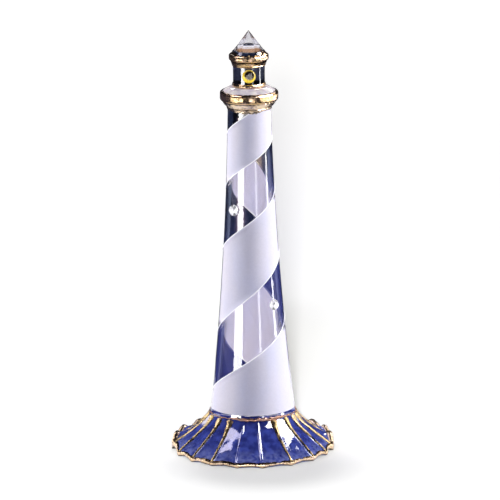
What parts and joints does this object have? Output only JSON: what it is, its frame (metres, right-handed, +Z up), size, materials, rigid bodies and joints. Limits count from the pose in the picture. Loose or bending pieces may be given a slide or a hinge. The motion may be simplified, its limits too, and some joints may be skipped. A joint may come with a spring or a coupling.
{
  "type": "glass lighthouse figurine",
  "caption": "Hollow glass lighthouse ornament with an etched spiral, pleated cobalt foot, gilded gallery, lantern with an amber stone and a cut glass roof.",
  "frame": {"origin": "on the tower's axis, in the plane of the table under the foot", "axes": "+Z up the tower, the lantern's amber stone faces -Y, +X to the viewer's right"},
  "size_m": [0.0686, 0.0687, 0.18],
  "materials": {
    "cobalt_glass": "blown cobalt glass, fire polished, with a cloudy grain",
    "tower_glass": "clear blown glass, flashed with cobalt behind",
    "etched_glass": "acid-etched satin glass",
    "clear_glass": "clear, polished",
    "lantern_glass": "navy-tinted clear rod, polished",
    "roof_glass": "clear, cut and polished",
    "gold": "fired bright gold",
    "clear_stone": "cut and polished",
    "amber_stone": "cut and polished",
    "silver_foil": "mirror foil",
    "gold_foil": "mirror foil",
    "cement": "clear jeweller's cement"
  },
  "bodies": {
    "root": {"base_skirt": "cobalt_glass", "skirt_rim_gilding": "gold", "skirt_rib_gilding": "gold", "skirt_neck_gilding": "gold", "tower_tube": "tower_glass", "etched_spiral": "etched_glass", "upper_window_stone": "clear_stone", "upper_window_foil": "silver_foil", "upper_window_cement": "cement", "lower_window_stone": "clear_stone", "lower_window_foil": "silver_foil", "lower_window_cement": "cement", "gallery_disc": "clear_glass", "gallery_cement": "cement", "gallery_rim_gilding": "gold", "gallery_collar_gilding": "gold", "tower_mouth_gilding": "gold", "lantern_glass": "lantern_glass", "lantern_foot_gilding": "gold", "lamp_stone": "amber_stone", "lamp_foil": "gold_foil", "lamp_cement": "cement", "roof_brim": "clear_glass", "brim_rim_gilding": "gold", "lantern_head_gilding": "gold", "roof_crystal": "roof_glass"}
  },
  "joints": []
}
